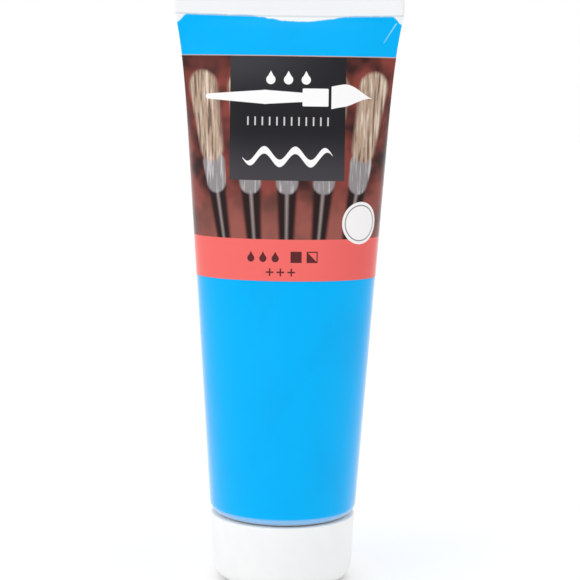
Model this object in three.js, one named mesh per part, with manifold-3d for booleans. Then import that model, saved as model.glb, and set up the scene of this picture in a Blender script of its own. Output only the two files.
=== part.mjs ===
// A plastic tube of acrylic paint, standing on its screw cap. Millimetres, +Z up.
//
// The origin is the centre of the cap's flat end, which the tube stands on. Z is the tube's long
// axis, the flat crimp at the top runs along X, and the front of the label looks towards -Y.
// The sleeve is round at the shoulder and flattens to the crimp, so the sleeve, its label and the
// paint inside it are one family of sections, each a fixed distance inside or outside the sleeve.

import * as THREE from "three";
import { mergeVertices } from "three/addons/utils/BufferGeometryUtils.js";
import Module from "manifold-3d";

const wasm = await Module();
wasm.setup();

// Cap: a wide shell with a threaded barrel inside it
const CAP_HEIGHT = 18;
const CAP_RIM_RADIUS = 19.5;
const CAP_FOOT_RADIUS = 18.9;
const CAP_CORNER = 5;
const CAP_WALL = 1.3;
const CAP_FLOOR = 1.5;
const CAP_RIM_ROUND = 0.4;
const CAP_LIP = 1.4;
const CAP_LIP_EDGE = 0.6;
const BARREL_WALL = 1.3;
const BARREL_TOP = 13.6;
const RIB_COUNT = 8;
const RIB_THICKNESS = 1;
const RIB_TOP = 8;

// Thread shared by the neck and the cap's barrel
const THREAD_PITCH = 4;
const THREAD_HEIGHT = 1.1;
const THREAD_ROOT_WIDTH = 1.5;
const THREAD_CREST_WIDTH = 0.8;
const THREAD_CLEARANCE = 0.3;
const THREAD_ROOT_SINK = 0.3;
const THREAD_END = 0.15;
const THREAD_RUN_OUT = Math.PI / 4;
const THREAD_TURNS = 1.75;
const THREAD_START = 4.9;

// Sleeve: heights are above the shoulder, the lowest edge of the sleeve
const SHOULDER_LEVEL = CAP_HEIGHT + 0.15;
const SLEEVE_RADIUS = 19.65;
const SLEEVE_WALL = 0.5;
const SLEEVE_CORNER = 3;
const SLEEVE_LENGTH = 133.5;
const CAVITY_TOP = 133;
const SIDE_TAPER = 0.0663;
const FLARE_START = 100;
const FLARE_WIDTH = 1.6;
const DEPTH_BULGE = 1.8;
const DEPTH_CLOSING = 0.62;
const LENS_ONSET = 6;
const CRIMP_HALF_WIDTH = 30.25;
const CRIMP_HEIGHT = 7.5;
const CRIMP_THICKNESS = 0.9;

// Head: the shoulder cone and the threaded neck
const SHOULDER_DROP = 3;
const SHOULDER_WALL = 1.2;
const SKIRT_TOP = 3.7;
const NECK_FILLET = 0.8;
const NECK_RADIUS = 7.9;
const NECK_BORE = 6.4;
const NECK_TIP = 3.4;
const MOUTH_RADIUS = 4;
const MOUTH_THICKNESS = 1;

// Loose pieces and contents
const LINER_THICKNESS = 1.1;
const FOIL_THICKNESS = 0.15;
const FOIL_RADIUS = 7.6;
const FOIL_TAB_WIDTH = 6;
const FOIL_TAB_LENGTH = 7;
const LABEL_LOW = 64.5;
const LABEL_HIGH = 122.5;
const LABEL_THICKNESS = 0.15;
const LABEL_GAP = 0.05;
const PAINT_GAP = 0.3;
const PAINT_TOP = 131.6;
const FIT_GAP = 0.1;

const SEGMENTS = 48;
const THREAD_STEPS_PER_TURN = 24;
const ON_AXIS = 1e-6;

function material(colour, roughness) {
  return new THREE.MeshStandardMaterial({ color: colour, roughness, metalness: 0 });
}

const whitePlastic = material(0xf4f4f4, 0.35);
const bluePlastic = material(0x1093ea, 0.22);
const bluePaint = material(0x0077e6, 0.35);
const printedFilm = material(0xb8665c, 0.25);
const whiteFoam = material(0xfafafa, 0.8);
const foil = new THREE.MeshStandardMaterial({ color: 0xc9ccd0, roughness: 0.3, metalness: 0.9 });

// ---- outlines -------------------------------------------------------------------------------

function point(radius, height) {
  return new THREE.Vector2(radius, height);
}

// Points of an arc about (radius, height), from one angle to another in degrees.
function arc(radius, height, size, from, to, steps) {
  return Array.from({ length: steps + 1 }, (_, i) => {
    const angle = THREE.MathUtils.degToRad(from + ((to - from) * i) / steps);
    return point(radius + size * Math.cos(angle), height + size * Math.sin(angle));
  });
}

// Evenly spaced heights, both ends included.
function levels(low, high, steps) {
  return Array.from({ length: steps + 1 }, (_, i) => low + ((high - low) * i) / steps);
}

// A solid of revolution about Z. The outline goes up its outside and down its inside.
function turned(outline) {
  const geometry = new THREE.LatheGeometry(outline, SEGMENTS);
  geometry.rotateX(Math.PI / 2);
  return geometry;
}

function mapVertices(geometry, change) {
  const position = geometry.attributes.position;
  const vertex = new THREE.Vector3();
  for (let i = 0; i < position.count; i += 1) {
    vertex.fromBufferAttribute(position, i);
    change(vertex);
    position.setXYZ(i, vertex.x, vertex.y, vertex.z);
  }
  geometry.computeVertexNormals();
  return geometry;
}

// ---- joining and cutting --------------------------------------------------------------------

function toSolid(geometry) {
  const bare = geometry.clone();
  bare.deleteAttribute("normal");
  bare.deleteAttribute("uv");
  const merged = mergeVertices(bare, 1e-4);
  const index = merged.index.array;
  const triangles = [];
  for (let i = 0; i < index.length; i += 3) {
    const [a, b, c] = [index[i], index[i + 1], index[i + 2]];
    if (a !== b && b !== c && c !== a) {
      triangles.push(a, b, c);
    }
  }
  return new wasm.Manifold(new wasm.Mesh({
    numProp: 3,
    vertProperties: Float32Array.from(merged.attributes.position.array),
    triVerts: Uint32Array.from(triangles),
  }));
}

function toGeometry(solid) {
  const mesh = solid.getMesh();
  const geometry = new THREE.BufferGeometry();
  geometry.setAttribute("position", new THREE.BufferAttribute(mesh.vertProperties, 3));
  geometry.setIndex(new THREE.BufferAttribute(mesh.triVerts, 1));
  geometry.computeVertexNormals();
  return geometry;
}

function joined(solids) {
  return solids.reduce((whole, solid) => whole.add(solid));
}

// A box whose lowest face is at the height given.
function block(width, depth, height, x, low) {
  const box = new THREE.BoxGeometry(width, depth, height);
  box.translate(x, 0, low + height / 2);
  return box;
}

// ---- the sleeve's shape ---------------------------------------------------------------------

function halfWidth(height) {
  const flare = Math.max(0, (height - FLARE_START) / (SLEEVE_LENGTH - FLARE_START));
  return SLEEVE_RADIUS + SIDE_TAPER * height + FLARE_WIDTH * flare ** 3;
}

function halfDepth(height) {
  const fraction = Math.min(1, height / SLEEVE_LENGTH);
  return Math.max(CRIMP_THICKNESS / 2, SLEEVE_RADIUS * (1 - fraction ** DEPTH_BULGE) ** DEPTH_CLOSING);
}

// Turns a round wall into the sleeve's: an ellipse low down and a flat lens at the crimp. A wall's
// distance inside the sleeve's skin is the same all round, before and after.
function flatten(geometry) {
  return mapVertices(geometry, (vertex) => {
    const radius = Math.hypot(vertex.x, vertex.y);
    if (radius < ON_AXIS) {
      return;
    }
    const inside = SLEEVE_RADIUS - radius;
    const height = Math.max(0, vertex.z - SHOULDER_LEVEL);
    const lens = Math.min(1, height / SLEEVE_LENGTH) ** LENS_ONSET;
    const side = Math.atan2(vertex.x, Math.abs(vertex.y));
    const across = (1 - lens) * Math.sin(side) + (lens * side) / (Math.PI / 2);
    vertex.x = (halfWidth(height) - inside) * across;
    vertex.y = (halfDepth(height) - inside) * Math.cos(side) * Math.sign(vertex.y);
  });
}

// Heights of the sections that the sleeve, the label and the paint share, above the corner.
const sectionLevels = [
  ...levels(SLEEVE_CORNER, LABEL_LOW, 6),
  ...levels(LABEL_LOW, LABEL_HIGH, 6).slice(1),
  ...levels(LABEL_HIGH, PAINT_TOP, 4).slice(1),
];
const sleeveLevels = [...sectionLevels, ...levels(PAINT_TOP, CAVITY_TOP, 2).slice(1)];

// The wall at a distance inside the sleeve's skin, at each of the heights.
function wall(inside, heights) {
  return heights.map((height) => point(SLEEVE_RADIUS - inside, SHOULDER_LEVEL + height));
}

// The round corner at the sleeve's foot, at a distance inside its skin.
function footCorner(inside, steps) {
  const centre = SLEEVE_RADIUS - SLEEVE_CORNER;
  return arc(centre, SHOULDER_LEVEL + SLEEVE_CORNER, SLEEVE_CORNER - inside, -90, 0, steps);
}

function flattened(outline) {
  return flatten(turned(outline));
}

// ---- threads --------------------------------------------------------------------------------

// One helical ridge: a tooth extruded straight, its length being the angle in radians, then wound
// round Z. It rises anticlockwise, as a right-hand thread does, and sinks into its wall at both ends.
// The cap's ridge starts half a turn from the neck's, so each lies in the middle of the other's groove.
// Winding would turn the faces inward, so the tooth, the same both ways up, is also turned over.
function helix(root, crest, startAngle) {
  const tooth = new THREE.Shape([
    point(root, -THREAD_ROOT_WIDTH / 2),
    point(crest, -THREAD_CREST_WIDTH / 2),
    point(crest, THREAD_CREST_WIDTH / 2),
    point(root, THREAD_ROOT_WIDTH / 2),
  ]);
  const length = THREAD_TURNS * 2 * Math.PI;
  const steps = THREAD_TURNS * THREAD_STEPS_PER_TURN;
  const ridge = new THREE.ExtrudeGeometry(tooth, { depth: length, steps, bevelEnabled: false });
  return mapVertices(ridge, (vertex) => {
    const angle = vertex.z;
    const nearEnd = Math.min(1, Math.min(angle, length - angle) / THREAD_RUN_OUT);
    const radius = THREE.MathUtils.lerp(root, vertex.x, THREAD_END + (1 - THREAD_END) * nearEnd);
    const height = THREAD_START - vertex.y + (THREAD_PITCH * angle) / (2 * Math.PI);
    const turn = startAngle + angle;
    vertex.set(radius * Math.cos(turn), radius * Math.sin(turn), height);
  });
}

// ---- the pieces -----------------------------------------------------------------------------

function capShell() {
  const foot = CAP_FOOT_RADIUS - CAP_CORNER;
  const rim = CAP_RIM_RADIUS - CAP_RIM_ROUND;
  const inner = CAP_CORNER - CAP_WALL;
  const bore = CAP_RIM_RADIUS - CAP_WALL;
  return [
    point(0, 0),
    ...arc(foot, CAP_CORNER, CAP_CORNER, -90, 0, 6),
    ...arc(rim, CAP_HEIGHT - CAP_RIM_ROUND, CAP_RIM_ROUND, 0, 90, 2),
    point(bore - CAP_LIP, CAP_HEIGHT),
    point(bore - CAP_LIP, CAP_HEIGHT - CAP_LIP_EDGE),
    point(bore, CAP_HEIGHT - CAP_LIP_EDGE - CAP_LIP),
    ...arc(foot, CAP_FLOOR + inner, inner, 0, -90, 4),
    point(0, CAP_FLOOR),
  ];
}

// The middle of the shell's wall, which the ribs end in.
function capCore() {
  const foot = CAP_FOOT_RADIUS - CAP_CORNER;
  const middle = CAP_WALL / 2;
  return turned([
    point(0, middle),
    ...arc(foot, CAP_CORNER, CAP_CORNER - middle, -90, 0, 6),
    point(CAP_FOOT_RADIUS - middle, RIB_TOP + 1),
    point(0, RIB_TOP + 1),
  ]);
}

function capBarrel(bore, outside) {
  const low = CAP_FLOOR / 2;
  return turned([
    point(bore, low),
    point(outside, low),
    point(outside, BARREL_TOP),
    point(bore, BARREL_TOP),
    point(bore, low),
  ]);
}

function capRib(turn, outside) {
  const start = outside - BARREL_WALL / 2;
  const length = CAP_RIM_RADIUS - start;
  const rib = block(length, RIB_THICKNESS, RIB_TOP, start + length / 2, 0);
  rib.rotateZ(turn);
  return toSolid(rib);
}

function cap() {
  const bore = NECK_RADIUS + THREAD_HEIGHT + THREAD_CLEARANCE;
  const outside = bore + BARREL_WALL;
  const core = toSolid(capCore());
  const ribs = Array.from({ length: RIB_COUNT }, (_, i) => (
    capRib((i * 2 * Math.PI) / RIB_COUNT, outside).intersect(core)
  ));
  const thread = helix(bore + THREAD_ROOT_SINK, bore - THREAD_HEIGHT, Math.PI);
  return toGeometry(joined([
    toSolid(turned(capShell())),
    toSolid(capBarrel(bore, outside)),
    ...ribs,
    toSolid(thread),
  ]));
}

function capLiner() {
  const low = CAP_FLOOR + FIT_GAP;
  const radius = NECK_RADIUS + THREAD_HEIGHT - FIT_GAP;
  return turned([
    point(0, low),
    point(radius, low),
    point(radius, low + LINER_THICKNESS),
    point(0, low + LINER_THICKNESS),
  ]);
}

function foilSeal() {
  const top = NECK_TIP - FIT_GAP;
  const disc = turned([
    point(0, top - FOIL_THICKNESS),
    point(FOIL_RADIUS, top - FOIL_THICKNESS),
    point(FOIL_RADIUS, top),
    point(0, top),
  ]);
  const tabMiddle = FOIL_RADIUS - 2 * FOIL_THICKNESS - FOIL_TAB_LENGTH / 2;
  const tabLow = top - 2 * FOIL_THICKNESS;
  const tab = block(FOIL_TAB_LENGTH, FOIL_TAB_WIDTH, 1.5 * FOIL_THICKNESS, tabMiddle, tabLow);
  return toGeometry(toSolid(disc).add(toSolid(tab)));
}

function tubeHead() {
  const corner = SHOULDER_LEVEL + SLEEVE_CORNER;
  const centre = SLEEVE_RADIUS - SLEEVE_CORNER;
  const outer = SLEEVE_CORNER - SLEEVE_WALL - FIT_GAP;
  const skirtTop = SHOULDER_LEVEL + SKIRT_TOP;
  const neckBase = SHOULDER_LEVEL - SHOULDER_DROP;
  const inner = outer - SHOULDER_WALL;
  const body = turned([
    point(MOUTH_RADIUS, NECK_TIP),
    point(NECK_RADIUS, NECK_TIP),
    point(NECK_RADIUS, neckBase - NECK_FILLET),
    point(NECK_RADIUS + NECK_FILLET, neckBase),
    point(centre - FIT_GAP, SHOULDER_LEVEL),
    point(centre - FIT_GAP, SHOULDER_LEVEL + SLEEVE_WALL + FIT_GAP),
    ...arc(centre, corner, outer, -90, 0, 4),
    point(centre + outer, skirtTop),
    point(centre + inner, skirtTop),
    ...arc(centre, corner, inner, 0, -90, 3),
    point(NECK_BORE + NECK_FILLET, neckBase + SHOULDER_WALL),
    point(NECK_BORE, neckBase + SHOULDER_WALL - NECK_FILLET),
    point(NECK_BORE, NECK_TIP + MOUTH_THICKNESS),
    point(MOUTH_RADIUS, NECK_TIP + MOUTH_THICKNESS),
    point(MOUTH_RADIUS, NECK_TIP),
  ]);
  const thread = helix(NECK_RADIUS - THREAD_ROOT_SINK, NECK_RADIUS + THREAD_HEIGHT, 0);
  return toGeometry(toSolid(body).add(toSolid(thread)));
}

function tubeSleeve() {
  const centre = SLEEVE_RADIUS - SLEEVE_CORNER;
  const crimpLine = SHOULDER_LEVEL + SLEEVE_LENGTH;
  const skin = toSolid(flattened([
    point(0, SHOULDER_LEVEL),
    ...footCorner(0, 4).slice(0, -1),
    ...wall(0, sleeveLevels),
    point(SLEEVE_RADIUS, crimpLine),
    point(0, crimpLine),
  ]));
  const cavity = toSolid(flattened([
    point(0, SHOULDER_LEVEL - 1),
    point(centre, SHOULDER_LEVEL - 1),
    ...footCorner(SLEEVE_WALL, 4).slice(0, -1),
    ...wall(SLEEVE_WALL, sleeveLevels),
    point(0, SHOULDER_LEVEL + sleeveLevels[sleeveLevels.length - 1]),
  ]));
  const overlap = 0.2;
  const crimp = block(
    2 * CRIMP_HALF_WIDTH,
    CRIMP_THICKNESS,
    CRIMP_HEIGHT + overlap,
    0,
    crimpLine - overlap,
  );
  return toGeometry(skin.subtract(cavity).add(toSolid(crimp)));
}

function wrapLabel() {
  const heights = sectionLevels.filter((height) => height >= LABEL_LOW && height <= LABEL_HIGH);
  const low = SHOULDER_LEVEL + LABEL_LOW;
  const high = SHOULDER_LEVEL + LABEL_HIGH;
  const film = toSolid(flattened([
    point(0, low),
    ...wall(-LABEL_GAP - LABEL_THICKNESS, heights),
    point(0, high),
  ]));
  const core = toSolid(flattened([
    point(0, low - 1),
    ...wall(-LABEL_GAP, [LABEL_LOW - 1, ...heights, LABEL_HIGH + 1]),
    point(0, high + 1),
  ]));
  return toGeometry(film.subtract(core));
}

function paintFill() {
  const neckBase = SHOULDER_LEVEL - SHOULDER_DROP + SHOULDER_WALL;
  const bore = NECK_BORE - PAINT_GAP;
  const mouth = MOUTH_RADIUS - PAINT_GAP;
  const lip = NECK_TIP + MOUTH_THICKNESS + PAINT_GAP;
  const insideHead = SLEEVE_WALL + FIT_GAP + SHOULDER_WALL + PAINT_GAP;
  return flattened([
    point(0, NECK_TIP + PAINT_GAP),
    point(mouth, NECK_TIP + PAINT_GAP),
    point(mouth, lip),
    point(bore, lip),
    point(bore, neckBase),
    point(SLEEVE_RADIUS - SLEEVE_CORNER - SHOULDER_WALL, SHOULDER_LEVEL + insideHead + PAINT_GAP),
    point(SLEEVE_RADIUS - insideHead, SHOULDER_LEVEL + SKIRT_TOP),
    ...wall(SLEEVE_WALL + PAINT_GAP, sectionLevels.slice(1)),
    point(0, SHOULDER_LEVEL + PAINT_TOP),
  ]);
}

// ---- the assembly ---------------------------------------------------------------------------

function part(name, geometry, finish) {
  const mesh = new THREE.Mesh(geometry, finish);
  mesh.name = name;
  return mesh;
}

const capGroup = new THREE.Group();
capGroup.add(part("cap", cap(), whitePlastic));
capGroup.add(part("cap_liner", capLiner(), whiteFoam));

const tubeGroup = new THREE.Group();
tubeGroup.add(part("tube_head", tubeHead(), whitePlastic));
tubeGroup.add(part("foil_seal", foilSeal(), foil));
tubeGroup.add(part("tube_sleeve", tubeSleeve(), bluePlastic));
tubeGroup.add(part("paint_fill", paintFill(), bluePaint));
tubeGroup.add(part("wrap_label", wrapLabel(), printedFilm));

const paintTube = new THREE.Group();
paintTube.add(capGroup, tubeGroup);

export default paintTube;
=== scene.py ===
import math

import bpy
import numpy as np
from mathutils import Euler, Matrix, Vector


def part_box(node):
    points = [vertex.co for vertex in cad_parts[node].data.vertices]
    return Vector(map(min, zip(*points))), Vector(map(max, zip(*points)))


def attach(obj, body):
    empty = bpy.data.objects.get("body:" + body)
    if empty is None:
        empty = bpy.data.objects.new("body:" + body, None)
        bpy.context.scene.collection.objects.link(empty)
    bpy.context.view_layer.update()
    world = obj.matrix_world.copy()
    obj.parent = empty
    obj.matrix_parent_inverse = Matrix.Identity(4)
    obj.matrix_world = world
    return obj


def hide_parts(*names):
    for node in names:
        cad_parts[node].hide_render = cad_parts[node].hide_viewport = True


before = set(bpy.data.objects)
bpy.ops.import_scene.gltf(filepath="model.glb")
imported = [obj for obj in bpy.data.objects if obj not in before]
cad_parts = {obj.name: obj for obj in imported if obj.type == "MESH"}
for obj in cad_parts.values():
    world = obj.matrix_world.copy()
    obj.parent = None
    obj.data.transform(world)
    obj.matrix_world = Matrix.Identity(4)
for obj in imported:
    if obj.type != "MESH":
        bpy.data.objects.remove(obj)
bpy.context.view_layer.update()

MM = 0.001
SKIN_MAP = "skin_mm"


def low_mm(node):
    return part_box(node)[0] / MM


def high_mm(node):
    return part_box(node)[1] / MM


# ---- driving dimensions, from the frame where it has them -----------------------------------

SHOULDER = low_mm("tube_sleeve").z
TOTAL_HEIGHT = high_mm("tube_sleeve").z
CRIMP_HALF_WIDTH = high_mm("tube_sleeve").x
LABEL_LOW = low_mm("wrap_label").z - SHOULDER
LABEL_HIGH = high_mm("wrap_label").z - SHOULDER
CAP_HEIGHT = high_mm("cap").z
CAP_RIM_RADIUS = high_mm("cap").x
NECK_TIP = low_mm("tube_head").z

SLEEVE_RADIUS = 19.65
SLEEVE_WALL = 0.5
SLEEVE_CORNER = 3.0
SLEEVE_LENGTH = 133.5
CAVITY_TOP = 131.5
SIDE_TAPER = 0.0663
FLARE_START = 100.0
FLARE_WIDTH = 1.6
CRIMP_HALF_THICKNESS = 0.45
CRIMP_EDGE = 0.15
WEDGE_START = 129.0
WEDGE_END = SLEEVE_LENGTH + 0.5
AROUND = 256


# ---- meshes ---------------------------------------------------------------------------------

SHARP_EDGE = math.radians(35)
SKIN_SHARP_EDGE = math.radians(50)


def smooth_step(value, low, high):
    t = np.clip((value - low) / (high - low), 0, 1)
    return t * t * (3 - 2 * t)


def new_piece(name, points, faces, skin=None, sharp=SHARP_EDGE):
    """A smooth-shaded mesh from points in millimetres. skin holds each face corner's skin map."""
    mesh = bpy.data.meshes.new(name)
    mesh.from_pydata([tuple(p) for p in np.asarray(points) * MM], [], [tuple(f) for f in faces])
    if skin is not None:
        layer = mesh.uv_layers.new(name=SKIN_MAP)
        layer.data.foreach_set("uv", np.asarray(skin, dtype=np.float32).ravel())
    mesh.validate()
    mesh.shade_smooth()
    mesh.set_sharp_from_angle(angle=sharp)
    piece = bpy.data.objects.new(name, mesh)
    bpy.context.collection.objects.link(piece)
    return piece


def loft(rings, skin, pairs):
    """Faces over rings of points, closed round each ring, with strips of faces over both ends.

    skin has one more column than a ring has points, so that it doesn't jump at the seam. pairs
    lists the points that face each other across an end, from one side of the ring to the other.
    """
    count = rings.shape[1]
    faces = []
    corners = []
    for row in range(len(rings) - 1):
        here = row * count
        above = here + count
        for i in range(count):
            j = (i + 1) % count
            faces.append((here + i, here + j, above + j, above + i))
            corners += [skin[row][i], skin[row][i + 1], skin[row + 1][i + 1], skin[row + 1][i]]
    for row, flip in ((0, True), (len(rings) - 1, False)):
        for (a, b), (c, d) in zip(pairs, pairs[1:]):
            face = [a, b, d, c]
            face = [v for k, v in enumerate(face) if v not in face[:k]]
            if flip:
                face.reverse()
            faces.append(tuple(row * count + v for v in face))
            corners += [skin[row][v] for v in face]
    return rings.reshape(-1, 3), faces, corners


def revolve(outline, segments=128):
    """Points and faces of the solid that a closed or axis-to-axis outline sweeps about Z."""
    closed = outline[0] == outline[-1]
    if closed:
        outline = outline[:-1]
    points = []
    rows = []
    for radius, height in outline:
        start = len(points)
        if radius < 1e-6:
            points.append((0, 0, height))
            rows.append([start] * segments)
            continue
        for i in range(segments):
            angle = 2 * math.pi * i / segments
            points.append((radius * math.cos(angle), radius * math.sin(angle), height))
        rows.append(list(range(start, start + segments)))
    faces = []
    neighbours = list(zip(rows, rows[1:])) + ([(rows[-1], rows[0])] if closed else [])
    for lower, upper in neighbours:
        for i in range(segments):
            j = (i + 1) % segments
            face = [lower[i], lower[j], upper[j], upper[i]]
            face = [v for k, v in enumerate(face) if v not in face[:k]]
            if len(face) > 2:
                faces.append(tuple(face))
    return points, faces


def rounded(corners, steps=6):
    """The outline through corners (radius, height, rounding), each cut off by a tangent arc."""
    outline = []
    for k, (x, y, size) in enumerate(corners):
        if size == 0 or k in (0, len(corners) - 1):
            outline.append((x, y))
            continue
        here = np.array((x, y))
        before = np.array(corners[k - 1][:2]) - here
        after = np.array(corners[k + 1][:2]) - here
        before = before / np.linalg.norm(before)
        after = after / np.linalg.norm(after)
        half = math.acos(np.clip(before @ after, -1, 1)) / 2
        centre = here + (before + after) / np.linalg.norm(before + after) * size / math.sin(half)
        first = here + before * size / math.tan(half) - centre
        last = here + after * size / math.tan(half) - centre
        turn = math.atan2(first[0] * last[1] - first[1] * last[0], first @ last)
        for i in range(steps + 1):
            angle = turn * i / steps
            c, s = math.cos(angle), math.sin(angle)
            outline.append((
                float(centre[0] + c * first[0] - s * first[1]),
                float(centre[1] + s * first[0] + c * first[1]),
            ))
    return outline


def unite(piece, others):
    """Joins the other objects into piece, and removes them."""
    for other in others:
        modifier = piece.modifiers.new("union", "BOOLEAN")
        modifier.operation = "UNION"
        modifier.solver = "MANIFOLD"
        modifier.object = other
    graph = bpy.context.evaluated_depsgraph_get()
    graph.update()
    mesh = bpy.data.meshes.new_from_object(piece.evaluated_get(graph))
    piece.modifiers.clear()
    piece.data = mesh
    mesh.shade_smooth()
    mesh.set_sharp_from_angle(angle=SHARP_EDGE)
    for other in others:
        bpy.data.objects.remove(other)
    return piece


# ---- the sleeve's shape ---------------------------------------------------------------------

def half_width(height):
    flare = np.clip((height - FLARE_START) / (SLEEVE_LENGTH - FLARE_START), 0, None)
    side = SLEEVE_RADIUS + SIDE_TAPER * height + FLARE_WIDTH * flare ** 3
    return np.minimum(side, CRIMP_HALF_WIDTH)


def filled_depth(height):
    fraction = np.clip(height / SLEEVE_LENGTH, 0, 1)
    return SLEEVE_RADIUS * (1 - fraction ** 1.8) ** 0.62


def half_depth(height):
    """The filled tube's depth, easing into the flat crimp over the last few millimetres."""
    wedge = WEDGE_END - WEDGE_START
    slope = (filled_depth(WEDGE_START) - filled_depth(WEDGE_START - 0.1)) / 0.1
    t = np.clip((height - WEDGE_START) / wedge, 0, 1)
    start_depth = filled_depth(WEDGE_START)
    eased = (
        start_depth * (2 * t ** 3 - 3 * t ** 2 + 1)
        + slope * wedge * (t ** 3 - 2 * t ** 2 + t)
        + CRIMP_HALF_THICKNESS * (3 * t ** 2 - 2 * t ** 3)
    )
    return np.where(height < WEDGE_START, filled_depth(height), eased)


def section(height, angles, inside):
    """Points round the sleeve at one height, a distance inside its skin.

    The ellipse sharpens into a lens towards the crimp, and the lens flattens into the crimp.
    """
    lens = np.clip(height / SLEEVE_LENGTH, 0, 1) ** 6
    flat = smooth_step(height, SLEEVE_LENGTH - 2, WEDGE_END)
    side = np.arctan2(np.cos(angles), np.abs(np.sin(angles)))
    across = (1 - lens) * np.sin(side) + lens * side / (math.pi / 2)
    deep = (1 - flat) * np.cos(side) + flat * np.sqrt(np.clip(1 - np.abs(across) ** 80, 0, 1))
    x = (half_width(max(height, 0)) - inside) * across
    y = (half_depth(max(height, 0)) - inside) * deep * np.sign(np.sin(angles))
    return np.stack([x, y, np.full_like(x, SHOULDER + height)], axis=1)


HALF_ROUND = math.pi * SLEEVE_RADIUS

# A ring starts at the middle of the back, so the middle of the front is halfway round.
RING_ANGLES = math.pi / 2 + 2 * math.pi * np.arange(AROUND + 1) / AROUND
END_PAIRS = [(k % AROUND, (AROUND // 2 - k) % AROUND) for k in range(-AROUND // 4, AROUND // 4 + 1)]


def skin_round(points, middle, height):
    """How far round each point is from the middle one, for the skin map.

    The front keeps true lengths. Towards the back they are stretched to a half round that is
    the same at every height, so that upright lines stand upright there too.
    """
    steps = np.linalg.norm(np.diff(points, axis=0), axis=1)
    round_from_middle = np.concatenate([[0], np.cumsum(steps)])
    round_from_middle -= round_from_middle[middle]
    whole = np.linalg.norm(np.diff(section(height, RING_ANGLES, 0.0), axis=0), axis=1).sum()
    settled = smooth_step(np.abs(round_from_middle), 0.45 * whole / 2, 0.75 * whole / 2)
    return round_from_middle + np.sign(round_from_middle) * (HALF_ROUND - whole / 2) * settled


def foot_corner(inside, steps=8):
    """(height, distance inside the skin) down the round corner at the sleeve's foot."""
    size = SLEEVE_CORNER - inside
    for i in range(1, steps + 1):
        angle = math.pi / 2 * i / steps
        yield SLEEVE_CORNER - size * math.sin(angle), SLEEVE_CORNER - size * math.cos(angle)


def make_sleeve():
    heights = np.concatenate([
        np.linspace(SLEEVE_CORNER, 120, 60),
        np.linspace(121, WEDGE_END, 36),
        np.linspace(WEDGE_END + 0.7, TOTAL_HEIGHT - SHOULDER - CRIMP_EDGE, 10),
    ])
    inner = [(h, SLEEVE_WALL) for h in heights[::-1] if h < CAVITY_TOP]
    outer = [(h, 0.0) for h in heights]
    rows = inner + list(foot_corner(SLEEVE_WALL))
    rows += list(foot_corner(0.0))[::-1] + outer + [(TOTAL_HEIGHT - SHOULDER, 0.8 * CRIMP_EDGE)]
    rings = []
    skin = []
    for height, inside in rows:
        ring = section(height, RING_ANGLES, inside)
        way_round = skin_round(section(height, RING_ANGLES, 0.0), AROUND // 2, height)
        rings.append(ring[:-1])
        skin.append(np.stack([way_round, np.full_like(way_round, height)], axis=1))
    points, faces, corners = loft(np.array(rings), skin, END_PAIRS)
    return new_piece("sleeve_skin", points, faces, corners, sharp=SKIN_SHARP_EDGE)


def make_label():
    """A thin film wound round the sleeve, its last stretch lying over its first at the back."""
    thickness = 0.08
    gap = 0.02
    overlap = math.radians(14)
    columns = 300
    angles = math.pi / 2 - overlap / 2 + (2 * math.pi + overlap) * np.arange(columns + 1) / columns
    last = angles[-1]
    lift = gap + (thickness + gap) * smooth_step(angles, last - 1.6 * overlap, last - overlap)
    middle = np.argmin(np.abs(angles - 1.5 * math.pi))
    rings = []
    skin = []
    for height in np.linspace(LABEL_LOW, LABEL_HIGH, 70):
        outer = section(height, angles, -lift - thickness)
        inner = section(height, angles, -lift)
        across = skin_round(outer, middle, height)
        way_round = np.concatenate([across, across[::-1], across[:1]])
        rings.append(np.concatenate([outer, inner[::-1]]))
        skin.append(np.stack([way_round, np.full_like(way_round, height)], axis=1))
    pairs = [(2 * columns + 1 - i, i) for i in range(columns + 1)]
    points, faces, corners = loft(np.array(rings), skin, pairs)
    return new_piece("label_film", points, faces, corners, sharp=SKIN_SHARP_EDGE)


# ---- the cap and the head -------------------------------------------------------------------

CAP_FOOT_RADIUS = 18.9
CAP_CORNER = 5.0
CAP_FLOOR = 1.5
CAP_WALL = 1.3
CAP_LIP = 1.4
CAP_LIP_EDGE = 0.6
BARREL_BORE = 9.3
BARREL_OUTSIDE = 10.6
BARREL_TOP = 13.6
RIB_COUNT = 8
RIB_TOP = 8.0
RIB_THICKNESS = 1.0

THREAD_PITCH = 4.0
THREAD_START = 4.9
THREAD_TURNS = 1.75
THREAD_HEIGHT = 1.1
THREAD_ROOT_WIDTH = 1.5
THREAD_RUN_OUT = math.pi / 4
THREAD_POINTS = 9
THREAD_SINK = 0.3
NECK_RADIUS = 7.9
NECK_BORE = 6.4
MOUTH_RADIUS = 4.0
SHOULDER_DROP = 3.0
SHOULDER_WALL = 1.2
SHOULDER_STEP = 0.6
SKIRT_TOP = 3.7

FOIL_RADIUS = 7.6
FOIL_THICKNESS = 0.07
FOIL_TAB_LENGTH = 7.0
FOIL_TAB_WIDTH = 6.0


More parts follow.
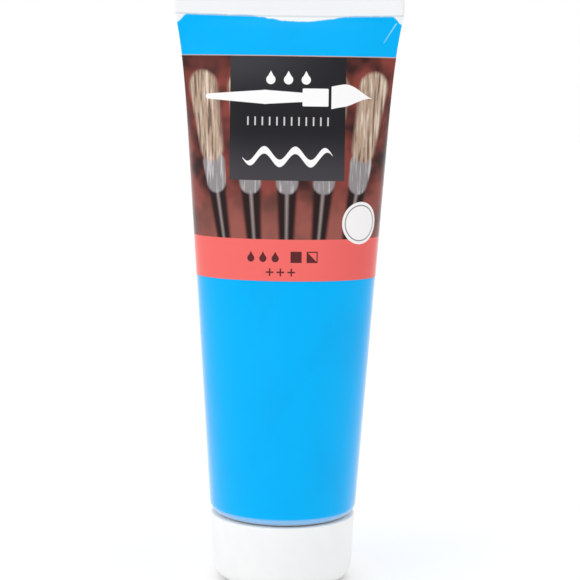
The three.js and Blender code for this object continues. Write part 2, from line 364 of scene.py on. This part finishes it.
def helix_ridge(name, root, crest, start_angle, steps=120):
    """A thread's ridge with round flanks, running out into its wall at both ends."""
    whole_turn = THREAD_TURNS * 2 * math.pi
    count = THREAD_POINTS
    points = []
    for step in range(steps + 1):
        angle = whole_turn * step / steps
        near_end = min(1.0, min(angle, whole_turn - angle) / THREAD_RUN_OUT)
        turn = start_angle + angle
        middle = THREAD_START + THREAD_PITCH * angle / (2 * math.pi)
        for k in range(count):
            along = k / (count - 1)
            rise = min(1.0, 1.15 * math.sin(math.pi * along)) * (0.12 + 0.88 * near_end)
            radius = root + (crest - root) * rise
            height = middle + THREAD_ROOT_WIDTH * (along - 0.5)
            points.append((radius * math.cos(turn), radius * math.sin(turn), height))
    faces = []
    for step in range(steps):
        for k in range(count):
            a, b = step * count + k, step * count + (k + 1) % count
            face = (a, b, b + count, a + count)
            faces.append(face if crest > root else face[::-1])
    first, last = tuple(range(count)), tuple(range(steps * count, (steps + 1) * count))
    faces += [first[::-1], last] if crest > root else [first, last[::-1]]
    return new_piece(name, points, faces)


def make_cap():
    rim_bore = CAP_RIM_RADIUS - CAP_WALL
    lip_foot = CAP_HEIGHT - CAP_LIP_EDGE
    points, faces = revolve(rounded([
        (0, 0.25, 0),
        (1.5, 0.25, 0.1),
        (1.8, 0, 0.1),
        (CAP_FOOT_RADIUS - 0.1, 0, CAP_CORNER),
        (CAP_RIM_RADIUS, CAP_HEIGHT, 0.35),
        (rim_bore - CAP_LIP, CAP_HEIGHT, 0.15),
        (rim_bore - CAP_LIP, lip_foot, 0.15),
        (rim_bore, lip_foot - CAP_LIP, 0.3),
        (CAP_FOOT_RADIUS - CAP_WALL - 0.1, CAP_FLOOR, CAP_CORNER - CAP_WALL),
        (BARREL_OUTSIDE, CAP_FLOOR, 0.5),
        (BARREL_OUTSIDE, BARREL_TOP, 0.35),
        (BARREL_BORE, BARREL_TOP, 0.5),
        (BARREL_BORE, CAP_FLOOR, 0.3),
        (0, CAP_FLOOR, 0),
    ]), segments=160)
    cap = new_piece("cap_shell", points, faces)
    ribs = [make_rib(2 * math.pi * i / RIB_COUNT) for i in range(RIB_COUNT)]
    thread = helix_ridge("cap_thread", BARREL_BORE + THREAD_SINK, BARREL_BORE - THREAD_HEIGHT, math.pi)
    return unite(cap, ribs + [thread])


def make_rib(turn):
    """A thin upright wall from the cap's barrel to its shell, its upper edge sloping outwards."""
    inner = BARREL_OUTSIDE - 0.6
    outer = CAP_FOOT_RADIUS - 0.7
    foot = CAP_FOOT_RADIUS - CAP_CORNER
    side = [
        (inner, 0.8),
        (foot + 0.5, 0.8),
        (outer - 1.0, 3.4),
        (outer, 5.5),
        (outer, RIB_TOP + 2),
        (inner, RIB_TOP),
    ]
    half = RIB_THICKNESS / 2
    points = [(x, y, z) for y in (-half, half) for x, z in side]
    count = len(side)
    faces = [tuple(range(count)), tuple(range(2 * count - 1, count - 1, -1))]
    faces += [(i + count, (i + 1) % count + count, (i + 1) % count, i) for i in range(count)]
    c, s = math.cos(turn), math.sin(turn)
    points = [(c * x - s * y, s * x + c * y, z) for x, y, z in points]
    return new_piece(f"cap_rib_{round(math.degrees(turn))}", points, faces)


def make_head():
    centre = SLEEVE_RADIUS - SLEEVE_CORNER
    rim = SLEEVE_RADIUS - SLEEVE_WALL - 0.1
    base = SHOULDER - SHOULDER_DROP
    step = SHOULDER + SHOULDER_STEP
    skirt = SHOULDER + SKIRT_TOP
    points, faces = revolve(rounded([
        (MOUTH_RADIUS, NECK_TIP + 1, 0),
        (MOUTH_RADIUS, NECK_TIP, 0.25),
        (NECK_RADIUS, NECK_TIP, 0.5),
        (NECK_RADIUS, base, 1.2),
        (centre - 0.1, SHOULDER, 0.1),
        (centre - 0.1, step, 0),
        (rim, step, 2.4),
        (rim, skirt, 0.2),
        (rim - SHOULDER_WALL, skirt, 0.2),
        (rim - SHOULDER_WALL, step + SHOULDER_WALL, 1.2),
        (centre - 0.6, step + SHOULDER_WALL, 0),
        (NECK_BORE, base + SHOULDER_WALL, 1.0),
        (NECK_BORE, NECK_TIP + 1, 0.3),
        (MOUTH_RADIUS, NECK_TIP + 1, 0),
    ]), segments=160)
    head = new_piece("head_moulding", points, faces)
    thread = helix_ridge("neck_thread", NECK_RADIUS - THREAD_SINK, NECK_RADIUS + THREAD_HEIGHT, 0.0)
    return unite(head, [thread])


def make_liner():
    low = low_mm("cap_liner")
    high = high_mm("cap_liner")
    points, faces = revolve(rounded([
        (0, low.z, 0),
        (high.x, low.z, 0.25),
        (high.x, high.z, 0.25),
        (NECK_RADIUS + 0.2, high.z, 0.1),
        (NECK_RADIUS, high.z - 0.12, 0.1),
        (MOUTH_RADIUS + 1.5, high.z - 0.12, 0.1),
        (MOUTH_RADIUS + 1.3, high.z, 0.1),
        (0, high.z, 0),
    ]))
    return new_piece("liner_disc", points, faces)


def make_foil():
    """The membrane over the mouth, finely crinkled, with its tab folded back underneath."""
    low = low_mm("foil_seal").z
    high = high_mm("foil_seal").z
    rings = 26
    segments = 96
    points = []
    for drop_below in (0, FOIL_THICKNESS):
        for ring in range(rings + 1):
            for i in range(segments):
                angle = 2 * math.pi * i / segments
                r = FOIL_RADIUS * ring / rings
                broad = 0.018 * math.sin(9 * angle + 1.3 * r)
                fine = 0.015 * math.sin(23 * angle - 2.1 * r)
                z = high - 0.06 - drop_below + (broad + fine) * r / FOIL_RADIUS
                points.append((r * math.cos(angle), r * math.sin(angle), z))
    sheet = (rings + 1) * segments
    rim = rings * segments
    faces = []
    for i in range(segments):
        j = (i + 1) % segments
        for ring in range(1, rings):
            a, b = ring * segments + i, ring * segments + j
            faces.append((a, a + segments, b + segments, b))
            faces.append((sheet + a, sheet + b, sheet + b + segments, sheet + a + segments))
        faces.append((0, segments + i, segments + j))
        faces.append((sheet, sheet + segments + j, sheet + segments + i))
        faces.append((rim + i, sheet + rim + i, sheet + rim + j, rim + j))
    used = sorted({v for face in faces for v in face})
    index = {v: k for k, v in enumerate(used)}
    points = [points[v] for v in used]
    faces = [tuple(index[v] for v in face) for face in faces]
    disc = new_piece("foil_membrane", points, faces)
    return unite(disc, [make_foil_tab(FOIL_RADIUS - 0.3, low, high - 0.11)])


def make_foil_tab(edge, low, high):
    half = FOIL_TAB_WIDTH / 2
    outline = [(edge, -half), (edge, half)]
    for i in range(17):
        angle = math.pi / 2 + math.pi * i / 16
        outline.append((
            edge - FOIL_TAB_LENGTH + half + half * math.cos(angle),
            half * math.sin(angle),
        ))
    count = len(outline)
    points = [(x, y, z) for z in (low, high) for x, y in outline]
    faces = [tuple(range(count - 1, -1, -1)), tuple(range(count, 2 * count))]
    faces += [(i, (i + 1) % count, (i + 1) % count + count, i + count) for i in range(count)]
    return new_piece("foil_tab", points, faces)


# ---- building node trees --------------------------------------------------------------------

class Number:
    """A value in a material's node tree. Ordinary arithmetic on it adds the nodes."""

    def __init__(self, tree, socket):
        self.tree = tree
        self.socket = socket

    def __add__(self, other):
        return maths("ADD", self, other)

    def __sub__(self, other):
        return maths("SUBTRACT", self, other)

    def __rsub__(self, other):
        return maths("SUBTRACT", other, self)

    def __mul__(self, other):
        return maths("MULTIPLY", self, other)

    def __truediv__(self, other):
        return maths("DIVIDE", self, other)


def feed(tree, socket, value):
    if isinstance(value, Number):
        tree.links.new(value.socket, socket)
    else:
        socket.default_value = value


def maths(operation, *values):
    tree = next(v.tree for v in values if isinstance(v, Number))
    node = tree.nodes.new("ShaderNodeMath")
    node.operation = operation
    for socket, value in zip(node.inputs, values):
        feed(tree, socket, value)
    return Number(tree, node.outputs[0])


def absolute(value):
    return maths("ABSOLUTE", value)


def least(a, b):
    return maths("MINIMUM", a, b)


def most(a, b):
    return maths("MAXIMUM", a, b)


def sine(value):
    return maths("SINE", value)


def length(x, y):
    return maths("SQRT", x * x + y * y)


def fade(value, low, high):
    """0 where value is at low, 1 where it is at high, and smooth between them, either way up."""
    tree = value.tree
    node = tree.nodes.new("ShaderNodeMapRange")
    node.interpolation_type = "SMOOTHSTEP"
    node.clamp = True
    flip = low > high
    feed(tree, node.inputs["Value"], value)
    node.inputs["From Min"].default_value = min(low, high)
    node.inputs["From Max"].default_value = max(low, high)
    node.inputs["To Min"].default_value = 1.0 if flip else 0.0
    node.inputs["To Max"].default_value = 0.0 if flip else 1.0
    return Number(tree, node.outputs["Result"])


def noise(x, y, z=0.0, detail=3.0, roughness=0.5):
    """Noise from 0 to 1, with features about 1 unit across."""
    tree = next(v.tree for v in (x, y, z) if isinstance(v, Number))
    place = tree.nodes.new("ShaderNodeCombineXYZ")
    for socket, value in zip(place.inputs, (x, y, z)):
        feed(tree, socket, value)
    node = tree.nodes.new("ShaderNodeTexNoise")
    node.inputs["Scale"].default_value = 1.0
    node.inputs["Detail"].default_value = detail
    node.inputs["Roughness"].default_value = roughness
    tree.links.new(place.outputs[0], node.inputs["Vector"])
    return Number(tree, node.outputs["Fac"])


def linear(value):
    return value / 12.92 if value <= 0.04045 else ((value + 0.055) / 1.055) ** 2.4


def srgb(code):
    """A linear colour from a six-digit hexadecimal sRGB code."""
    return tuple(linear(int(code[i:i + 2], 16) / 255) for i in (0, 2, 4)) + (1.0,)


class Canvas:
    """A colour that is painted over, layer by layer, each through a mask from 0 to 1."""

    def __init__(self, tree, colour):
        self.tree = tree
        self.socket = self.solid(colour)

    def solid(self, colour):
        node = self.tree.nodes.new("ShaderNodeRGB")
        node.outputs[0].default_value = srgb(colour)
        return node.outputs[0]

    def blend(self, first, second, mask):
        node = self.tree.nodes.new("ShaderNodeMix")
        node.data_type = "RGBA"
        feed(self.tree, node.inputs["Factor"], mask)
        for name, colour in (("A", first), ("B", second)):
            socket = next(s for s in node.inputs if s.name == name and s.type == "RGBA")
            if isinstance(colour, str):
                socket.default_value = srgb(colour)
            else:
                self.tree.links.new(colour, socket)
        return next(s for s in node.outputs if s.type == "RGBA")

    def paint(self, colour, mask):
        self.socket = self.blend(self.socket, colour, mask)


def split_axes(tree, socket):
    split = tree.nodes.new("ShaderNodeSeparateXYZ")
    tree.links.new(socket, split.inputs[0])
    return [Number(tree, output) for output in split.outputs]


def skin_place(tree):
    """How far round and how high each point is in the skin map, in millimetres."""
    source = tree.nodes.new("ShaderNodeUVMap")
    source.uv_map = SKIN_MAP
    x, z, _ = split_axes(tree, source.outputs["UV"])
    return x, z


def solid_place(tree):
    """Where each point is in its own piece, in millimetres."""
    source = tree.nodes.new("ShaderNodeTexCoord")
    return [axis * (1 / MM) for axis in split_axes(tree, source.outputs["Object"])]


def material(name):
    """A new material with a Principled shader, and its tree and shader."""
    made = bpy.data.materials.new(name)
    made.use_nodes = True
    tree = made.node_tree
    return made, tree, tree.nodes["Principled BSDF"]


def set_bump(tree, shader, height, distance, strength):
    """Bump from a height of 0 to 1, with its depth in millimetres."""
    node = tree.nodes.new("ShaderNodeBump")
    node.inputs["Distance"].default_value = distance * MM
    node.inputs["Strength"].default_value = strength
    feed(tree, node.inputs["Height"], height)
    tree.links.new(node.outputs["Normal"], shader.inputs["Normal"])


# ---- shapes in the label's print ------------------------------------------------------------
# Apart from local, each gives a mask from 0 to 1 over the skin map. x is the way round, z the
# height, and every length is in millimetres. soft is half the width of the blurred edge.

def local(x, z, centre, tilt):
    """Coordinates about a centre, turned anticlockwise by tilt degrees."""
    dx = x - centre[0]
    dz = z - centre[1]
    if tilt == 0:
        return dx, dz
    c, s = math.cos(math.radians(tilt)), math.sin(math.radians(tilt))
    return dx * c + dz * s, dz * c - dx * s


def ellipse(x, z, centre, radii, soft=0.1):
    scaled = length((x - centre[0]) / radii[0], (z - centre[1]) / radii[1])
    distance = (scaled - 1) * min(radii)
    return fade(distance, soft, -soft)


def ring(x, z, centre, radius, half_line, soft=0.06):
    distance = absolute(length(x - centre[0], z - centre[1]) - radius) - half_line
    return fade(distance, soft, -soft)


def box(x, z, centre, halves, corner=0.0, soft=0.06):
    across = absolute(x - centre[0]) - (halves[0] - corner)
    along = absolute(z - centre[1]) - (halves[1] - corner)
    outside = length(most(across, 0), most(along, 0))
    inside = least(most(across, along), 0)
    return fade(outside + inside - corner, soft, -soft)


def stroke(x, z, start, end, widths, soft=0.1):
    """A straight stroke with round ends, from one width to another."""
    reach = math.dist(start, end)
    tilt = math.degrees(math.atan2(end[1] - start[1], end[0] - start[0]))
    u, v = local(x, z, start, tilt)
    along = least(most(u, 0), reach)
    half = along * ((widths[1] - widths[0]) / 2 / reach) + widths[0] / 2
    return fade(length(u - along, v) - half, soft, -soft)


def drop(x, z, centre, size, soft=0.06):
    """A paint drop, its point upwards."""
    low = ellipse(x, z, centre, (size, size), soft=soft)
    neck = (centre[0], centre[1] + 0.25 * size)
    tip = (centre[0], centre[1] + 1.9 * size)
    high = stroke(x, z, neck, tip, (1.75 * size, 0.02), soft=soft)
    return most(low, high)


# ---- the label's print ----------------------------------------------------------------------

BAND_TOP = 75.2
CORAL = "ef6c68"
PANEL_MIDDLE = (-0.1, 106.2)
PANEL_HALVES = (15.2, 15.9)


def paint_still_life(art, x, z):
    """A plain fan of five soft-focus brushes on a blotched red-brown ground."""
    blotch = noise(x * 0.11, z * 0.11, 1.0, detail=2.0)
    art.paint("86403a", fade(blotch, 0.44, 0.62))
    art.paint("36201f", fade(blotch, 0.46, 0.34))
    art.paint("a5685e", fade(z, 92, 78) * fade(absolute(x), 32, 20) * 0.5)
    for k in range(-2, 3):
        paint_brush(art, x, z, (k * 8.0, 70), (k * 12.0, 119), 8.5)


def paint_brush(art, x, z, foot, tip, width):
    """One upright brush from foot to tip: a dark handle, a grey ferrule and a tuft of hair."""
    def part_way(share):
        return tuple(a + (b - a) * share for a, b in zip(foot, tip))

    handle = stroke(x, z, foot, part_way(0.36), (0.4 * width, 0.6 * width), soft=0.6)
    shine = stroke(x, z, foot, part_way(0.34), (0.4, 0.7), soft=0.5)
    ferrule = stroke(x, z, part_way(0.4), part_way(0.5), (0.66 * width, 0.78 * width), soft=0.4)
    tuft = stroke(x, z, part_way(0.58), part_way(0.9), (0.8 * width, width), soft=0.7)
    hair = noise(x * 1.3, z * 0.1, foot[0], detail=4.0)
    art.paint("2a1c1d", handle)
    art.paint("9b8f8d", shine)
    art.paint("8f8a8c", ferrule)
    art.paint("c6c1c2", ferrule * fade(hair, 0.5, 0.66))
    art.paint("b39a86", tuft)
    art.paint("4a322d", tuft * fade(hair, 0.48, 0.38) * 0.7)
    art.paint("e6d6c6", tuft * fade(hair, 0.52, 0.66) * 0.8)


def paint_panel(art, x, z):
    """The charcoal panel, with plain white signs: drops, a brush, a row of ticks and a wave."""
    panel = box(x, z, PANEL_MIDDLE, PANEL_HALVES, soft=0.07)
    art.paint("222125", panel)
    art.paint("434146", panel * fade(z, 104, 90))
    art.paint("3c3b40", panel * fade(z, 109, 121) * fade(x, 17, -14))
    white = "f7f6f6"
    for place in (-4.6, 0.0, 4.6):
        art.paint(white, drop(x, z, (place, 116.2), 1.2))
    paint_brush_sign(art, x, z, white)
    ticks = fade(absolute(sine(x * math.pi / 1.9)), 0.93, 0.97)
    art.paint("cfced0", ticks * box(x, z, (0, 105.5), (11.3, 1.1)))
    level = 96.4
    wave = sine(x * 0.78) * 1.7 + level
    swell = fade(absolute(x), 12.0, 8.5) * 0.85 + 0.1
    line = fade(absolute(z - wave) - swell, 0.08, -0.08)
    art.paint(white, line * box(x, z, (0, level), (11.8, 4)))


def paint_brush_sign(art, x, z, colour):
    """A plain filled-in brush lying on its side: handle, ferrule and tuft."""
    level = 111.7
    art.paint(colour, stroke(x, z, (-21.6, level), (-6, level), (1.3, 3.6)))
    art.paint(colour, stroke(x, z, (-6, level), (3.4, level), (3.6, 2.4)))
    art.paint(colour, box(x, z, (7.1, level), (3.4, 2.3), corner=0.3))
    bend = sine((x - 11.4) * 0.3) * 0.7
    taper = fade(x, 23.0, 14.5) * 2.9
    tuft = fade(absolute(z - level - bend) - taper, 0.07, -0.07)
    art.paint(colour, tuft * fade(x, 11.2, 11.35) * fade(x, 22.6, 22.3))


def paint_band(art, x, z):
    """The coral band, with plain signs: drops, a filled and a half-filled square, and crosses."""
    band = fade(z, BAND_TOP + 0.08, BAND_TOP - 0.08)
    art.paint(CORAL, band)
    # Painted shade: the coral is darker towards the right of the front, and this fades out towards the
    # back.
    art.paint("e66562", band * fade(x, 4, 24) * fade(x, 50, 34))
    dark = "5d2a2c"
    for place in (-9.2, -6.0, -2.8):
        art.paint(dark, drop(x, z, (place, 70.3), 0.95))
    for place in (2.6, 6.8):
        art.paint(dark, box(x, z, (place, 70.7), (1.45, 1.45)))
    art.paint(CORAL, box(x, z, (6.8, 70.7), (1.15, 1.15)))
    art.paint(dark, box(x, z, (6.8, 70.7), (1.45, 1.45)) * fade(x + z, 77.6, 77.4))
    for place in (-4.2, -1.4, 1.4):
        art.paint(dark, box(x, z, (place, 66.8), (1.0, 0.2)))
        art.paint(dark, box(x, z, (place, 66.8), (0.2, 1.0)))


def paint_sticker(art, x, z):
    """A plain round white sticker with a thin grey line near its edge."""
    centre = (20.3, 79.3)
    art.paint("f3f1f1", ellipse(x, z, centre, (5.5, 5.5), soft=0.08))
    art.paint("8f8b8d", ring(x, z, centre, 4.6, 0.16))


def paint_back(art, x, z):
    """More brushes, with a pale panel of grey lines and a field of plain bars."""
    behind = fade(absolute(x), 31, 36)
    art.paint("4a2725", behind)
    art.paint("6f3a34", behind * fade(z, 78, 120))
    for place in (-36.5, 38.5, 58.0):
        paint_brush(art, x, z, (place, 70), (place, 119), 8.5)
    art.paint("efe9e4", box(x, z, (-47, 102), (11.5, 14.5), corner=0.8))
    row = absolute(sine((z - 92) * math.pi / 2.1))
    ends = noise(z * 0.476, 3.0, 9.0) * 9 - 41
    lines = fade(row, 0.86, 0.94) * fade(x - ends, 0.3, 0.0)
    art.paint("7a7370", lines * box(x, z, (-47, 99), (9.6, 9.4)))
    art.paint("3a3638", box(x, z, (-52.4, 112.6), (4.0, 0.7)))
    art.paint("f2efec", box(x, z, (47, 101), (9.5, 11), corner=0.6))
    bars = noise(x * 2.2, 4.0, 2.0, detail=1.0, roughness=0.2)
    art.paint("1d1b1c", fade(bars, 0.5, 0.52) * box(x, z, (47, 101), (7.6, 9)))


def label_film_finish():
    made, tree, shader = material("label_film")
    x, z = skin_place(tree)
    art = Canvas(tree, "5c2f2b")
    paint_still_life(art, x, z)
    paint_back(art, x, z)
    paint_panel(art, x, z)
    paint_band(art, x, z)
    paint_sticker(art, x, z)
    art.paint("d9d2d0", fade(z, LABEL_HIGH - 0.3, LABEL_HIGH - 0.15) * 0.7)
    tree.links.new(art.socket, shader.inputs["Base Color"])
    rough = noise(x * 0.2, z * 0.2, 6.0) * 0.08 + 0.2
    feed(tree, shader.inputs["Roughness"], rough)
    shader.inputs["Specular IOR Level"].default_value = 0.1
    shader.inputs["Sheen Weight"].default_value = 0.8
    shader.inputs["Sheen Roughness"].default_value = 0.3
    set_bump(tree, shader, noise(x * 0.9, z * 0.35, 2.0), 0.02, 0.5)
    return made


# ---- the other finishes ---------------------------------------------------------------------

def sleeve_finish():
    """Milky plastic that shows the blue paint wherever the paint touches it."""
    made, tree, shader = material("sleeve_plastic")
    x, z = skin_place(tree)
    colour = Canvas(tree, "00b1f6")
    broad = noise(x * 0.07, z * 0.05, 3.0)
    colour.paint("04aaef", fade(broad, 0.45, 0.7) * 0.6)
    colour.paint("8cc2f0", fade(z, 2.4, 1.7))
    # Painted light: the foot's underside is near-white, to lift the shade in the gap between the
    # sleeve and the cap.
    colour.paint("e3ebf3", fade(z, 0.5, 0.3))
    wander = noise(x * 0.16, 4.0, 1.0, detail=5.0, roughness=0.66)
    chips = noise(x * 0.8, z * 0.3, 6.0, detail=6.0, roughness=0.75)
    sag = fade(absolute(x - 2.8), 15, 3) * 1.6
    corners = fade(absolute(x), 26.6, 30.5) * 2.4
    edge = wander * 1.6 + chips * 0.7 + 131.9 - sag - corners
    colour.paint("59c3f5", fade(z - edge, -0.5, 0.1) * 0.4)
    colour.paint("eef1f4", fade(z - edge, -0.1, 0.18))
    near = least(absolute(x), HALF_ROUND - absolute(x))
    seal = near * near * 0.0006 + SLEEVE_LENGTH - 0.75
    colour.paint("eff0f2", fade(z - seal, 0.0, 0.4))
    colour.paint("c3ccd1", fade(absolute(z - seal), 0.35, 0.1) * 0.6)
    crease = stroke(x, z, (28.2, 131.2), (25.2, 126.2), (0.3, 0.14), soft=0.12)
    colour.paint("9fdcf8", crease)
    tree.links.new(colour.socket, shader.inputs["Base Color"])
    rough = noise(x * 0.3, z * 0.3, 8.0) * 0.06 + 0.17
    feed(tree, shader.inputs["Roughness"], rough)
    shader.inputs["Specular IOR Level"].default_value = 0.04
    shader.inputs["Sheen Weight"].default_value = 1.0
    shader.inputs["Sheen Roughness"].default_value = 0.35
    ripple = noise(x * 0.12, z * 0.06, 5.0, detail=2.0)
    below_crimp = fade(z, 118, 132) * fade(z, SLEEVE_LENGTH + 1, SLEEVE_LENGTH)
    dents = noise(x * 0.5, z * 0.35, 2.0) * below_crimp
    set_bump(tree, shader, ripple + dents * 0.5 + crease * 0.6, 0.25, 0.5)
    return made


def moulded_finish(name, colour, shade, roughness):
    """White moulded plastic: fine grain, slight clouding, a little light through it."""
    made, tree, shader = material(name)
    x, y, z = solid_place(tree)
    cloud = Canvas(tree, colour)
    cloud.paint(shade, fade(noise(x * 0.25, y * 0.25, z * 0.25), 0.4, 0.7) * 0.5)
    tree.links.new(cloud.socket, shader.inputs["Base Color"])
    rough = noise(x * 1.5, y * 1.5, z * 1.5) * 0.1 + (roughness - 0.05)
    feed(tree, shader.inputs["Roughness"], rough)
    shader.inputs["Specular IOR Level"].default_value = 0.35
    shader.inputs["Subsurface Weight"].default_value = 0.3
    shader.inputs["Subsurface Radius"].default_value = (1.0, 1.0, 1.0)
    shader.inputs["Subsurface Scale"].default_value = 2 * MM
    set_bump(tree, shader, noise(x * 6, y * 6, z * 6, detail=4.0), 0.012, 0.5)
    return made


def foam_finish():
    made, tree, shader = material("liner_foam")
    x, y, z = solid_place(tree)
    cells = noise(x * 5, y * 5, z * 5, detail=5.0, roughness=0.7)
    colour = Canvas(tree, "f6f5f1")
    colour.paint("dedcd6", fade(cells, 0.5, 0.35))
    tree.links.new(colour.socket, shader.inputs["Base Color"])
    shader.inputs["Roughness"].default_value = 0.85
    set_bump(tree, shader, cells, 0.1, 0.8)
    return made


def foil_finish():
    made, tree, shader = material("foil_metal")
    x, y, z = solid_place(tree)
    brushed = noise(x * 0.4, y * 6, z)
    colour = Canvas(tree, "c9ccd0")
    colour.paint("aeb2b8", fade(brushed, 0.4, 0.7))
    tree.links.new(colour.socket, shader.inputs["Base Color"])
    shader.inputs["Metallic"].default_value = 0.95
    feed(tree, shader.inputs["Roughness"], brushed * 0.15 + 0.22)
    set_bump(tree, shader, noise(x * 1.2, y * 1.2, z, detail=5.0), 0.08, 0.8)
    return made


def paint_finish():
    made, tree, shader = material("blue_paint")
    x, y, z = solid_place(tree)
    swirl = noise(x * 0.3 + z * 0.05, y * 0.3, z * 0.1, detail=4.0)
    colour = Canvas(tree, "0a86e0")
    colour.paint("0574cf", fade(swirl, 0.4, 0.65))
    tree.links.new(colour.socket, shader.inputs["Base Color"])
    feed(tree, shader.inputs["Roughness"], swirl * 0.15 + 0.25)
    set_bump(tree, shader, swirl, 0.2, 0.6)
    return made


def dress(piece, finish, slot, body, *nodes):
    """Gives a piece its finish, and stands it in for CAD nodes on the same body. slot is not used."""
    piece.data.materials.clear()
    piece.data.materials.append(finish)
    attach(piece, body)
    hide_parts(*nodes)


# ---- the studio -----------------------------------------------------------------------------

# Lengths are in millimetres and angles in degrees. The floor and the lights are in metres.
AXIS_TO_CAMERA = 430
CAMERA_SIDE = 1.15
CAMERA_ABOVE_SHOULDER = 112.8
CAMERA_PITCH = 6.96
CAMERA_ROLL = 0.82
LENS = 100.2
FLOOR_HALF = 4.0
WALL_LIGHT = 0.54
CEILING_LIGHT = 0.8


def make_camera():
    data = bpy.data.cameras.new("camera")
    data.sensor_width = 36
    data.lens = LENS
    data.clip_start = 0.05
    data.clip_end = 20
    camera = bpy.data.objects.new("camera", data)
    bpy.context.collection.objects.link(camera)
    height = SHOULDER + CAMERA_ABOVE_SHOULDER
    camera.location = (CAMERA_SIDE * MM, -AXIS_TO_CAMERA * MM, height * MM)
    turn = Euler((math.radians(90 - CAMERA_PITCH), 0, 0)).to_matrix()
    camera.rotation_euler = (turn @ Matrix.Rotation(math.radians(CAMERA_ROLL), 3, "Z")).to_euler()
    bpy.context.scene.camera = camera


def make_floor():
    half = FLOOR_HALF
    corners = [(-half, -half, 0), (half, -half, 0), (half, half, 0), (-half, half, 0)]
    mesh = bpy.data.meshes.new("floor")
    mesh.from_pydata(corners, [], [(0, 1, 2, 3)])
    floor = bpy.data.objects.new("floor", mesh)
    bpy.context.collection.objects.link(floor)
    made, tree, shader = material("floor_white")
    x, y, _ = solid_place(tree)
    colour = Canvas(tree, "fbfbfb")
    colour.paint("f8f8f8", fade(noise(x * 0.01, y * 0.01), 0.4, 0.7))
    tree.links.new(colour.socket, shader.inputs["Base Color"])
    shader.inputs["Roughness"].default_value = 0.9
    shader.inputs["Specular IOR Level"].default_value = 0.0
    mesh.materials.append(made)


def make_world():
    """White to the camera. To the tube, a room that gets brighter towards its ceiling."""
    world = bpy.data.worlds.new("studio")
    world.use_nodes = True
    bpy.context.scene.world = world
    tree = world.node_tree
    seen = Number(tree, tree.nodes.new("ShaderNodeLightPath").outputs["Is Camera Ray"])
    _, _, up = split_axes(tree, tree.nodes.new("ShaderNodeTexCoord").outputs["Generated"])
    room = most(up, 0) * CEILING_LIGHT + WALL_LIGHT + fade(up, 0, -0.02) * (1 - WALL_LIGHT)
    background = tree.nodes["Background"]
    background.inputs["Color"].default_value = (1, 1, 1, 1)
    feed(tree, background.inputs["Strength"], seen * (1 - room) + room)


def make_softbox(name, place, target, size, power):
    data = bpy.data.lights.new(name, "AREA")
    data.shape = "SQUARE"
    data.size = size
    data.energy = power
    light = bpy.data.objects.new(name, data)
    bpy.context.collection.objects.link(light)
    light.location = place
    away = Vector(place) - Vector(target)
    light.rotation_euler = away.to_track_quat("Z", "Y").to_euler()


def main():
    make_camera()
    make_floor()
    make_world()
    make_softbox("fill", (-0.25, -0.8, 0.03), (0, 0, 0.01), 0.3, 0.2)
    make_softbox("key", (-0.9, -0.6, 0.6), (0, 0, 0.08), 0.8, 2.0)

    white = moulded_finish("white_cap", "f6f6f5", "f3f3f2", 0.32)
    head_white = moulded_finish("white_head", "f8f9f8", "f2f3f2", 0.38)
    dress(make_cap(), white, "cap_plastic", "cap", "cap")
    dress(make_liner(), foam_finish(), "liner_foam", "liner", "cap_liner")
    dress(make_head(), head_white, "head_plastic", "tube", "tube_head")
    dress(make_foil(), foil_finish(), "foil", "tube", "foil_seal")
    dress(make_sleeve(), sleeve_finish(), "sleeve_plastic", "tube", "tube_sleeve")
    dress(make_label(), label_film_finish(), "label_film", "tube", "wrap_label")
    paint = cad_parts["paint_fill"]
    paint.data.materials.clear()
    paint.data.materials.append(paint_finish())

    bpy.context.scene.view_settings.view_transform = "Standard"


main()
